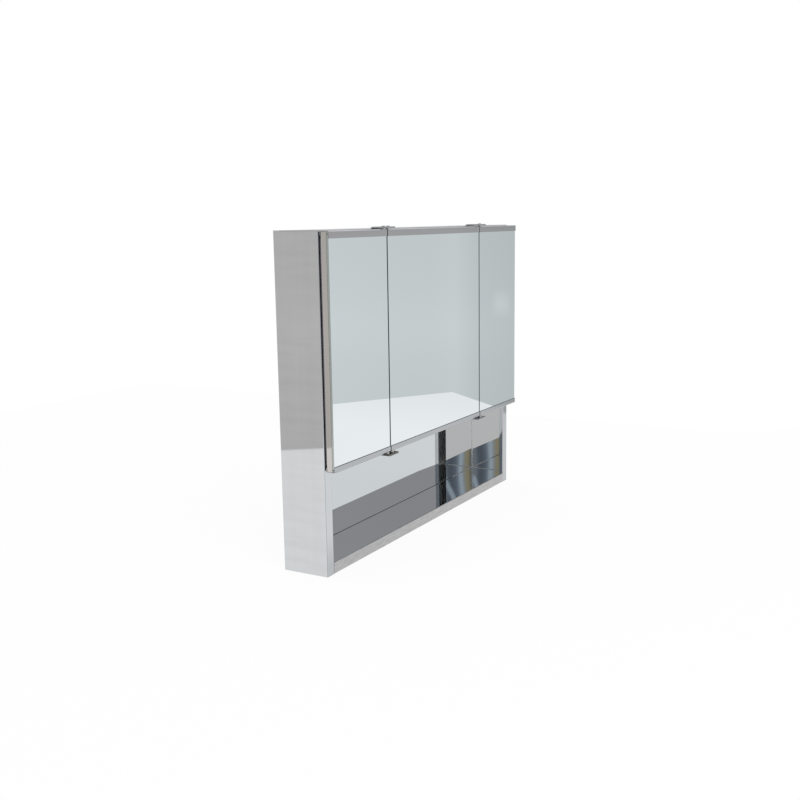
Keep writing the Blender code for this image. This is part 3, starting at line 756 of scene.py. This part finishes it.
def trim_skins(face):
    """0 for a door channel's faces, 1 for its upper edge, which is lighter: a painted highlight."""
    return 1 if face.normal.z > CHANNEL_EDGE else 0


def tray_skins(face):
    """0 for the polished floor, 1 for the brushed rail that is folded down from it."""
    return 1 if face.normal.y < -TURNED else 0


trial = welded("left_side_panel")
print("skins of the left panel:", sorted({side_skins("left")(face) for face in trial.faces}))
trial.free()

# %% [markdown]
# ## The folded pieces
# Side panels, lid, floors, shelves, pans and channels all go through the same steps, each with the steel that
# it shows in the photograph. The channels' upper edges are lighter, which is a painted highlight, and the
# lower channels are darker, which is painted shade.

# %% Finish the folded pieces
SHEETS = {"top_panel": level_steel, "compartment_floor": lip_steel, "lower_shelf": level_steel,
          "upper_shelf": level_steel}
for door in DOORS:
    for end, face_steel in (("top", trim_steel), ("bottom", low_trim_shaded_steel)):
        stand_for(f"{door}_door_{end}_channel", [face_steel, edge_highlight_steel],
                  sort_faces=trim_skins)
for node, finish in SHEETS.items():
    stand_for(node, [finish])
for side, stile_steel in (("left", left_stile_shaded_steel), ("right", right_stile_shaded_steel)):
    stand_for(f"{side}_side_panel", [upright_steel, polished_side_lit, pale_skin_painted_light, stile_steel, fold_shade_steel],
              sort_faces=side_skins(side))
for door in DOORS:
    stand_for(f"{door}_door_pan", [door_steel, raw_steel], sort_faces=pan_skins)
stand_for("bottom_tray", [polished, rail_steel], sort_faces=tray_skins)

# %% [markdown]
# ## Plates, pins and bushes
# The hinge brackets are 3 mm plate, so their edges are eased a little more. The lower left one gets a darker
# zinc, which is painted shade: the shadow and dark reflection of the door above it. Pins and bushes are
# turned, and only need their facets welded to shade round.

# %% Finish the fittings
PLATE_EASE = 0.25 * MM
FITTINGS = {}
for end in ("top", "bottom"):
    for side in ("left", "right"):
        plate_zinc = shaded_zinc if (end, side) == ("bottom", "left") else zinc
        FITTINGS[f"hinge_bracket_{end}_{side}"] = (plate_zinc, "zinc_steel", PLATE_EASE)
    for door in DOORS:
        FITTINGS[f"{door}_door_{end}_pin"] = (pin_steel, "polished_steel", 0.0)
        FITTINGS[f"{door}_door_{end}_bush"] = (nylon, "nylon", 0.0)
for level in ("lower", "upper"):
    for side in ("left", "right"):
        FITTINGS[f"{level}_shelf_bracket_{side}"] = (zinc, "zinc_steel", EASE)
for node, (finish, slot, ease) in FITTINGS.items():
    stand_for(node, [finish], ease)
print("fittings:", len(FITTINGS))

# %% [markdown]
# ## The mirrors
# Each pane is cut, and its edges are ground. The front and back faces carry the silver, and all other faces
# show the green glass. Edges that meet at a joint are ground round and made darker and less shiny, which is
# painted shade: little light reaches into a joint.

# %% Finish the mirrors
# The direction along X in which a door has a neighbour
NEIGHBOURS = {"left": (1,), "middle": (-1, 1), "right": (-1,)}
ARRIS = 0.9 * MM
# How near a pane's normals come to Y on its broad faces, and to X on an edge at a joint
BROAD, AT_JOINT = 0.99, 0.1


def mirror_faces(door):
    """Sorts a pane's faces: 0 for the broad faces, 1 for its open edges, 2 for edges at a joint."""
    def sort(face):
        if abs(face.normal.y) > BROAD:
            return 0
        return 2 if any(face.normal.x * way > AT_JOINT for way in NEIGHBOURS[door]) else 1
    return sort


def joint_edges(door):
    """Picks a pane's upright front edges that meet a neighbour."""
    low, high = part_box(f"{door}_door_mirror")
    reach = {-1: low.x, 1: high.x}

    def pick(edge):
        spots = [end.co for end in edge.verts]
        return any(all(abs(spot.x - reach[way]) < WELD and abs(spot.y - low.y) < WELD for spot in spots)
                   for way in NEIGHBOURS[door])
    return pick


for door in DOORS:
    stand_for(f"{door}_door_mirror", [silver, edge_glass, joint_glass_shaded], ARRIS,
              mirror_faces(door), joint_edges(door))
print("edges at joints:", sum(len(ways) for ways in NEIGHBOURS.values()))

# %% [markdown]
# ## Solids that are right as they are
# The back is one flat sheet, the catches and buffers are small mouldings whose edges are already rounded in
# the model, and the boards are hidden inside the doors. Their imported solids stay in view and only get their
# finishes.

# %% Give the plain solids their finishes
PLAIN = {"back_panel": polished_back, "hanger_plate_left": zinc, "hanger_plate_right": zinc}
for door in DOORS:
    PLAIN[f"{door}_catch_housing"] = nylon
    PLAIN[f"{door}_catch_magnet"] = ferrite
    PLAIN[f"{door}_door_core_board"] = hardboard
    PLAIN[f"{door}_door_striker"] = zinc
    PLAIN[f"{door}_door_buffer"] = rubber
for node, finish in PLAIN.items():
    mesh = frame["nodes"][node].data
    mesh.materials.clear()
    mesh.materials.append(finish)
print("plain solids:", len(PLAIN))

# %% [markdown]
# ## Heads of the fasteners
# Four kinds of fastening hold the cabinet together: blind rivets, flush rivets, cross-recess screws and spot
# welds. Each head is a solid of revolution, so its outline is spun round the Z axis. It has only about a
# hundred faces, because it is used many times. A small rounded block joins them: the moulded plug that closes
# each open end of the doors' channels.

# %% Draw the heads' outlines
# Outlines run from the middle of the top to the middle of the underside: radius and height in mm
OUTLINES = {
    "blind_rivet": [(0, 0.42), (0.55, 0.42), (0.62, 0.78), (1.00, 0.80), (1.40, 0.58), (1.60, 0.22),
                    (1.60, -0.05), (0, -0.05)],
    "flush_rivet": [(0, 0.08), (1.15, 0.10), (1.35, 0.04), (1.35, -0.05), (0, -0.05)],
    "pan_screw": [(0, 1.50), (1.20, 1.45), (2.10, 1.15), (2.50, 0.55), (2.50, -0.05), (0, -0.05)],
    "spot_weld": [(0, 0.006), (1.30, 0.006), (1.75, 0.020), (2.30, 0.012), (2.50, -0.02), (0, -0.02)],
}
HEAD_STEPS = 16
# The screw's cross: half a slot's width, an arm's length, and the heights of its floor and the cutter's top
CROSS_HALF, CROSS_ARM, CROSS_FLOOR, CROSS_TOP = 0.30 * MM, 1.35 * MM, 0.45 * MM, 2 * MM
# How much narrower the cross is at its floor
CROSS_TAPER = 0.7
PLUG_SIZE, PLUG_ROUND = Vector((2.4, 4.7, 4.2)) * MM, 0.4 * MM
HEAD_ROUND_BELOW = 40
print("heights of the heads in mm:", {name: max(spot[1] for spot in line) for name, line in OUTLINES.items()})

# %% [markdown]
# ## Turning and cutting
# A rivet is headed and a screw is rolled, but both come out round, so spinning an outline is the shortest way
# to either. The screw's recess is punched on the real one. A Boolean with a tapered plus sign does the same.

# %% Turn the heads


def turned_head(name, outline):
    shape = bmesh.new()
    spots = [shape.verts.new((radius * MM, 0, height * MM)) for radius, height in outline]
    edges = [shape.edges.new(pair) for pair in zip(spots, spots[1:])]
    bmesh.ops.spin(shape, geom=spots + edges, axis=(0, 0, 1), cent=(0, 0, 0), angle=math.tau,
                   steps=HEAD_STEPS)
    bmesh.ops.remove_doubles(shape, verts=shape.verts, dist=WELD)
    bmesh.ops.recalc_face_normals(shape, faces=shape.faces)
    return new_piece(name, shape)


def cross_cutter():
    """A plus sign, narrower at its foot, that reaches above the screw's head."""
    a, b = CROSS_HALF, CROSS_ARM
    plus = [(a, a), (a, b), (-a, b), (-a, a), (-b, a), (-b, -a), (-a, -a), (-a, -b), (a, -b), (a, -a),
            (b, -a), (b, a)]
    shape = bmesh.new()
    corners = [shape.verts.new((CROSS_TAPER * x, CROSS_TAPER * y, CROSS_FLOOR)) for x, y in plus]
    raised = bmesh.ops.extrude_face_region(shape, geom=[shape.faces.new(corners)])
    for item in raised["geom"]:
        if isinstance(item, bmesh.types.BMVert):
            item.co = (item.co.x / CROSS_TAPER, item.co.y / CROSS_TAPER, CROSS_TOP)
    bmesh.ops.recalc_face_normals(shape, faces=shape.faces)
    return new_piece("cross_cutter", shape)


def punched(screw):
    """Cuts the cross into a screw's head."""
    cutter = cross_cutter()
    recess = screw.modifiers.new("cross_recess", "BOOLEAN")
    recess.object = cutter
    recess.solver = "EXACT"
    keep_result(screw)
    bpy.data.objects.remove(cutter)


def end_plug():
    shape = bmesh.new()
    bmesh.ops.create_cube(shape, size=1.0)
    bmesh.ops.scale(shape, vec=PLUG_SIZE, verts=shape.verts)
    bmesh.ops.bevel(shape, geom=shape.edges[:], offset=PLUG_ROUND, segments=2, profile=0.5, affect="EDGES")
    return new_piece("end_plug", shape)


heads = {name: turned_head(name, outline) for name, outline in OUTLINES.items()}
punched(heads["pan_screw"])
heads["end_plug"] = end_plug()
for head in heads.values():
    shade_round(head, HEAD_ROUND_BELOW)
print("faces in each head:", {name: len(head.data.polygons) for name, head in heads.items()})

# %% [markdown]
# ## Setting out the fasteners
# Fasteners stand in rows, evenly spaced between two ends. That is a rule, so Geometry Nodes does the setting
# out: a line of points and a head on each point, turned to face outwards. Screws stop at a different angle
# each time, so a seeded random turn is added. One tree serves every row, and only its inputs change.

# %% Build the tree for a row of fasteners


def new_tree(name, inputs):
    """An empty tree with these inputs, and those inputs' values inside it."""
    tree = bpy.data.node_groups.new(name, "GeometryNodeTree")
    for label, kind in inputs.items():
        tree.interface.new_socket(label, in_out="INPUT", socket_type=f"NodeSocket{kind}")
    tree.interface.new_socket("Mesh", in_out="OUTPUT", socket_type="NodeSocketGeometry")
    return tree, add(tree, "NodeGroupInput").outputs


def give_out(tree, shapes, finish):
    """Ends a tree: the shapes become real faces with their finish."""
    real = add(tree, "GeometryNodeRealizeInstances", {0: shapes})
    finished = add(tree, "GeometryNodeSetMaterial", {"Geometry": real.outputs[0], "Material": finish})
    add(tree, "NodeGroupOutput", {0: finished.outputs[0]})


def fastener_tree():
    """Heads at even steps from Start to End, each facing Facing, with a seeded random turn."""
    tree, given = new_tree("fasteners_along_a_line", {
        "Head": "Object", "Start": "Vector", "End": "Vector", "Count": "Int", "Facing": "Vector",
        "Turn": "Float", "Seed": "Int", "Finish": "Material"})
    line = add(tree, "GeometryNodeMeshLine", {"Count": given["Count"], "Start Location": given["Start"],
                                              "Offset": given["End"]}, mode="END_POINTS")
    chance = add(tree, "FunctionNodeRandomValue", {3: given["Turn"], "Seed": given["Seed"]})
    twist = add(tree, "ShaderNodeCombineXYZ", {2: chance.outputs[1]})
    facing = add(tree, "FunctionNodeAlignRotationToVector", {0: twist.outputs[0], 2: given["Facing"]},
                 axis="Z")
    head = add(tree, "GeometryNodeObjectInfo", {0: given["Head"]})
    placed = add(tree, "GeometryNodeInstanceOnPoints", {
        "Points": line.outputs[0], "Instance": head.outputs["Geometry"], "Rotation": facing.outputs[0]})
    give_out(tree, placed.outputs[0], given["Finish"])
    return tree


def from_tree(name, tree, values, node):
    """Runs a tree, keeps its result as a plain mesh, and lets it ride with the body of a node."""
    piece = in_scene(name, bpy.data.meshes.new(name))
    maker = piece.modifiers.new(tree.name, "NODES")
    maker.node_group = tree
    for item in tree.interface.items_tree:
        if item.in_out == "INPUT":
            maker[item.identifier] = values[item.name]
    keep_result(piece)
    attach(piece, frame["nodes"][node]["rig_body"])
    return piece


FASTENERS = fastener_tree()
rows = []
print("inputs of the tree:", [item.name for item in FASTENERS.interface.items_tree if item.in_out == "INPUT"])

# %% [markdown]
# ## From tree to piece
# A modifier's result isn't a mesh of its own yet. Each row is evaluated once, kept as a plain mesh, and
# freed of its modifier, and then it can ride with the body that its fasteners are driven into.

# %% Keep a row as a plain piece
HEAD_FINISH = {"blind_rivet": pin_steel, "flush_rivet": zinc, "pan_screw": pin_steel, "spot_weld": weld_tint,
               "end_plug": grey_nylon}


def row(name, kind, start, end, count, facing, node="top_panel", slot="zinc_steel", turn=0.0):
    """One row of fasteners on a node. Start and end are in metres and lie on the sheet's skin."""
    values = {"Head": heads[kind], "Start": start, "End": end, "Count": count, "Facing": facing,
              "Turn": turn, "Seed": len(rows), "Finish": HEAD_FINISH[kind]}
    rows.append(from_tree(name, FASTENERS, values, node))


def level_row(name, kind, low, high, inset, y, z, *more, **options):
    """A row from one side of a box to the other, set in from both."""
    row(name, kind, (low.x + inset, y, z), (high.x - inset, y, z), *more, **options)


def near_end(low, high, at_low, inset):
    """A place set in from the low or the high end of a stretch."""
    return low + inset if at_low else high - inset


print("kinds of head:", sorted(heads))

# %% [markdown]
# ## Fasteners on the doors
# Blind rivets hold each channel's rear leg to the pan, because only one side of a closed pan can be
# reached. Flush rivets hold each striker, which has to meet its magnet flat, and screws hold each catch, so
# that it can be set. Grey plugs close the channels' open ends.

# %% Set out the doors' rivets and strikers
# Distances of the first fastener from the end of the piece that it holds
CHANNEL_RIVETS = {"top": 15 * MM, "bottom": 27 * MM}
STRIKER_RIVET, CATCH_SCREW = 1.8 * MM, 2.8 * MM
LEG_MIDDLE = 4 * MM
CHANNEL_SHEET = 1.2 * MM
FORWARD, BACKWARD, DOWNWARD = (0, -1, 0), (0, 1, 0), (0, 0, -1)
for door in DOORS:
    pan = f"{door}_door_pan"
    for end, inset in CHANNEL_RIVETS.items():
        low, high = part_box(f"{door}_door_{end}_channel")
        z = near_end(low.z, high.z, end == "bottom", LEG_MIDDLE)
        level_row(f"{door}_door_{end}_rivets", "blind_rivet", low, high, inset, high.y, z,
                  5 if door == "middle" else 3, BACKWARD, pan)
    low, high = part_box(f"{door}_door_striker")
    level_row(f"{door}_door_striker_rivets", "flush_rivet", low, high, STRIKER_RIVET, high.y,
              (low.z + high.z) / 2, 2, BACKWARD, pan)
    low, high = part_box(f"{door}_catch_housing")
    level_row(f"{door}_catch_screws", "pan_screw", low, high, CATCH_SCREW, (low.y + high.y) / 2, low.z, 2,
              DOWNWARD, turn=math.pi)
for door in DOORS:
    glass_low, glass_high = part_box(f"{door}_door_mirror")
    for end, glass_edge_z in (("top", glass_high.z), ("bottom", glass_low.z)):
        low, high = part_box(f"{door}_door_{end}_channel")
        # Halfway from the channel's front leg to the glass's back, and from its web to the glass's edge
        y = (low.y + CHANNEL_SHEET + glass_high.y) / 2
        z = (near_end(low.z, high.z, end == "bottom", CHANNEL_SHEET) + glass_edge_z) / 2
        level_row(f"{door}_door_{end}_plugs", "end_plug", low, high, PLUG_SIZE.x / 2, y, z, 2, FORWARD,
                  f"{door}_door_pan", "nylon")
print("rows so far:", len(rows))

# %% [markdown]
# ## Fasteners on the carcass
# The hinge plates carry the doors' weight, so they are riveted to the lips, and the shelf brackets to the
# walls. Where a sheet only has to lie on another, as the flanges on the back do, it is spot welded, and each
# weld leaves a shallow ring with a warm tint.

# %% Set out the carcass's rivets and welds
# Distances from the edges of the piece that each fastener holds
PLATE_RIVET_IN, PLATE_RIVET_UP = 9 * MM, 5 * MM
BRACKET_RIVET_IN, BRACKET_RIVET_UP = 10 * MM, 6 * MM
HANGER_WELD_IN, FLANGE_WELD_IN, FLANGE_WELD_FROM_END = 7 * MM, 9 * MM, 40 * MM
lip_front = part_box("top_panel")[0].y
for end in ("top", "bottom"):
    for side in ("left", "right"):
        low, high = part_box(f"hinge_bracket_{end}_{side}")
        z = near_end(low.z, high.z, end == "top", PLATE_RIVET_UP)
        level_row(f"hinge_{end}_{side}_rivets", "blind_rivet", low, high, PLATE_RIVET_IN, lip_front, z, 2,
                  FORWARD)
for side, inward in (("left", 1), ("right", -1)):
    for level in ("lower", "upper"):
        low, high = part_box(f"{level}_shelf_bracket_{side}")
        x, z = near_end(low.x, high.x, side == "left", SHEET), low.z + BRACKET_RIVET_UP
        row(f"{level}_shelf_{side}_rivets", "blind_rivet", (x, low.y + BRACKET_RIVET_IN, z),
            (x, high.y - BRACKET_RIVET_IN, z), 3, (inward, 0, 0))
    low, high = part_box(f"hanger_plate_{side}")
    for edge in ("low", "high"):
        z = near_end(low.z, high.z, edge == "low", HANGER_WELD_IN)
        level_row(f"hanger_{side}_{edge}_welds", "spot_weld", low, high, HANGER_WELD_IN, low.y, z, 2, FORWARD)
    low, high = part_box(f"{side}_side_panel")
    x = near_end(low.x, high.x, side == "left", FLANGE_WELD_IN)
    row(f"{side}_flange_welds", "spot_weld", (x, high.y, low.z + FLANGE_WELD_FROM_END),
        (x, high.y, high.z - FLANGE_WELD_FROM_END), 9, BACKWARD, slot="brushed_steel")
low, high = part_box("top_panel")
level_row("top_flange_welds", "spot_weld", low, high, FLANGE_WELD_FROM_END, high.y, high.z - FLANGE_WELD_IN,
          10, BACKWARD, slot="brushed_steel")
for head in heads.values():
    bpy.data.objects.remove(head)
print("rows of fasteners:", len(rows))

# %% [markdown]
# ## The seals under the mirrors, as painted shade
# A thin dark bead of silicone runs along the joint between the glass and the lower channel. Its dark colour is
# painted shade: it stands for the shadow line under the glass. A second small tree sweeps a round section
# along a line.

# %% Run a bead along each lower channel
BEAD_RADIUS = 0.45 * MM
# The bead's middle lies this share of its radius above the channel's lip
BEAD_RISE = 0.6
BEAD_SIDES = 12


def bead_tree():
    """A round bead from Start to End."""
    tree, given = new_tree("bead_along_a_line", {"Start": "Vector", "End": "Vector", "Radius": "Float",
                                                 "Finish": "Material"})
    line = add(tree, "GeometryNodeCurvePrimitiveLine", {"Start": given["Start"], "End": given["End"]})
    section = add(tree, "GeometryNodeCurvePrimitiveCircle",
                  {"Resolution": BEAD_SIDES, "Radius": given["Radius"]})
    swept = add(tree, "GeometryNodeCurveToMesh",
                {"Curve": line.outputs[0], "Profile Curve": section.outputs[0], "Fill Caps": True})
    give_out(tree, swept.outputs[0], given["Finish"])
    return tree


BEADS = bead_tree()


def bead(name, start, end, radius, finish, node):
    """A round bead along a straight line, which rides with the body of a node."""
    values = {"Start": start, "End": end, "Radius": radius, "Finish": finish}
    shade_round(from_tree(name, BEADS, values, node))


for door in DOORS:
    low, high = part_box(f"{door}_door_mirror")
    y = low.y - BEAD_RADIUS
    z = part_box(f"{door}_door_bottom_channel")[1].z + BEAD_RISE * BEAD_RADIUS
    bead(f"{door}_door_seal", (low.x + SHEET, y, z), (high.x - SHEET, y, z), BEAD_RADIUS, dark_sealant_and_shade,
         f"{door}_door_pan")
print("seals:", len(DOORS))

# %% [markdown]
# ## The dust seals, as painted shade
# Beside the left door the photograph shows a soft dark line, the shade in the gap behind the door. It is drawn
# as a dust seal: a thin tube of soft rubber down the back of each outer door, close to its free edge, whose
# violet-grey colour is painted shade for that gap. It stays with the door.

# %% Run a dust seal down each outer door
TUBE_RADIUS = 1.15 * MM
# How far the tube's middle lies from the door's free edge, in radii, and how far its ends are from the door's
TUBE_INSET, TUBE_FROM_END = 1.6, 12 * MM
# Violet-grey rubber in the gap behind each outer door: painted shade.
gap_shade_tube = mottled("violet_grey_rubber_painted_shade", "#4e4954", "#5c5762", MATT, (0.55, 0.70), 0.8 * MM, 0.01 * MM)
for door in ("left", "right"):
    low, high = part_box(f"{door}_door_pan")
    x, y = near_end(low.x, high.x, door == "left", TUBE_INSET * TUBE_RADIUS), high.y + TUBE_RADIUS
    bead(f"{door}_door_dust_seal", (x, y, low.z + TUBE_FROM_END), (x, y, high.z - TUBE_FROM_END), TUBE_RADIUS,
         gap_shade_tube, f"{door}_door_pan")
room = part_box("left_side_panel")[0].y - high.y - 2 * TUBE_RADIUS
print("room behind the seal in mm:", round(room / MM, 2))

# %% [markdown]
# ## The seams in the open shelf
# The floor and the back of the open shelf are seam welded to the side walls, so that nothing spilled can run
# behind them. The welds' near-white colour is a painted highlight: it gives the light glint lines along the
# corners against the dark reflections. The same tree sweeps them, and half of each bead is sunk in the joint.

# %% Run the seams along the shelf's corners
SEAM_RADIUS, SEAM_FROM_FRONT = 1.1 * MM, 4 * MM
STITCH_LENGTH = 110 * MM
# Near-white weld seams: a painted highlight for the glints along the shelf's corners.
seam_glint_steel = mottled("brushed_weld_seam_painted_glint", "#e6e8ea", "#f4f5f6", METAL, (0.35, 0.50), 1.2 * MM, 0.02 * MM)
floor_low, floor_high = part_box("bottom_tray")
back_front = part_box("back_panel")[0].y
shelf_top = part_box("compartment_floor")[0].z
for side, x, inward in (("left", floor_low.x, 1), ("right", floor_high.x, -1)):
    for name, end in (("floor", (x, floor_low.y + SEAM_FROM_FRONT, floor_high.z)),
                      ("back", (x, back_front, shelf_top)),
                      ("joint", (x + inward * STITCH_LENGTH, back_front, floor_high.z))):
        bead(f"{side}_{name}_seam", (x, back_front, floor_high.z), end, SEAM_RADIUS, seam_glint_steel,
             "bottom_tray")
print("seams end", round(shelf_top / MM, 1), "mm above the table")

# %% [markdown]
# ## The sealed joint between the seams
# Between the seams the floor only butts against the back, and a hair of dark sealant fills that joint. In the
# photograph it is the fine dark line along the foot of the back.

# %% Fill the joint along the back
JOINT_RADIUS = 0.5 * MM
joint_start, joint_end = floor_low.x + STITCH_LENGTH, floor_high.x - STITCH_LENGTH
bead("shelf_joint_sealant", (joint_start, back_front, floor_high.z), (joint_end, back_front, floor_high.z),
     JOINT_RADIUS, dark_sealant_and_shade, "bottom_tray")
print("sealed joint in mm:", round((joint_end - joint_start) / MM, 1))

# %% [markdown]
# ## Size
# A finish mustn't change how big the cabinet is. The box of what is seen is printed.

# %% Keep the size and finish
low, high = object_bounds()
print("visual size in mm:", [round(1000 * side, 1) for side in high - low])
